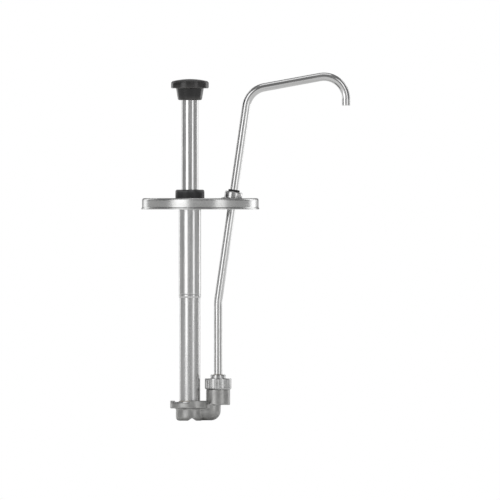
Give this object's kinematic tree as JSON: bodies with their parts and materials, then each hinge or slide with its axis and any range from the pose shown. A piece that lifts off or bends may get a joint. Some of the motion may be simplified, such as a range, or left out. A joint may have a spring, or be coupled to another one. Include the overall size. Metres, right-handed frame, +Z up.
{
  "type": "condiment pump dispenser",
  "caption": "Lid-mounted hand pump for condiments: a spring-return plunger in a long cylinder, ball check valves in a cast foot, and a bent discharge tube ending in a spout.",
  "frame": {"origin": "on the plunger's axis, at the height where the underside of the lid rests on a container's rim", "axes": "+Z up along the plunger, +X from the plunger towards the spout, +Y to the back; the XZ plane is the plane of symmetry"},
  "size_m": [0.2401, 0.1356, 0.4003],
  "materials": {
    "lid_steel": "satin, pressed stainless sheet",
    "polished_steel": "polished drawn stainless tube",
    "cylinder_steel": "satin drawn stainless tube",
    "cast_steel": "investment cast stainless, tumbled satin",
    "turned_steel": "turned stainless, fine machining marks",
    "ball_steel": "mirror-ground stainless",
    "spring_steel": "bright drawn stainless wire",
    "knob_black": "moulded black phenolic, glossy",
    "collar_black": "moulded black acetal, satin",
    "insert_brass": "turned brass",
    "seal_silicone": "translucent food-grade silicone",
    "seal_black": "matt black nitrile rubber",
    "guide_plastic": "natural white polyethylene"
  },
  "bodies": {
    "pump_frame": {"lid": "lid_steel", "lid_nut": "turned_steel", "spout_boss": "turned_steel", "spout_grommet": "seal_black", "pump_cylinder": "cylinder_steel", "cylinder_head": "turned_steel", "return_spring": "spring_steel", "extension_tube": "cylinder_steel", "extension_flange": "turned_steel", "flange_oring": "seal_black", "valve_body": "cast_steel", "ball_retainer": "turned_steel", "discharge_fitting": "turned_steel", "ball_stop_pin": "turned_steel", "fitting_oring": "seal_black", "coupling_nut": "turned_steel", "discharge_tube": "polished_steel"},
    "piston": {"piston_seal": "seal_silicone", "seal_spreader": "turned_steel"},
    "plunger": {"knob": "knob_black", "knob_cap": "knob_black", "knob_insert": "insert_brass", "plunger_tube": "polished_steel", "plunger_top_plug": "turned_steel", "piston_plug": "turned_steel", "piston_washer": "guide_plastic", "piston_nut": "turned_steel"},
    "collar": {"locking_collar": "collar_black", "plunger_wiper": "guide_plastic"},
    "inlet_check": {"inlet_ball": "ball_steel"},
    "discharge_check": {"discharge_ball": "ball_steel"}
  },
  "joints": [
    {"name": "plunger_stroke", "type": "slide", "parent": "pump_frame", "child": "piston", "axis": [0, 0, -1], "range_m": [0, 0.102], "stiffness_N_per_m": 127, "springref_m": -0.079, "deforming": ["return_spring"]},
    {"name": "plunger_spin", "type": "hinge", "parent": "piston", "child": "plunger", "pos_m": [0, 0, 0], "axis": [0, 0, 1], "continuous": true},
    {"name": "collar_turn", "type": "hinge", "parent": "pump_frame", "child": "collar", "pos_m": [0, 0, 0], "axis": [0, 0, 1], "range_deg": [0, 90]},
    {"name": "inlet_ball_lift", "type": "slide", "parent": "pump_frame", "child": "inlet_check", "axis": [0, 0, 1], "range_m": [0, 0.0028]},
    {"name": "discharge_ball_lift", "type": "slide", "parent": "pump_frame", "child": "discharge_check", "axis": [0, 0, 1], "range_m": [0, 0.0028]}
  ]
}
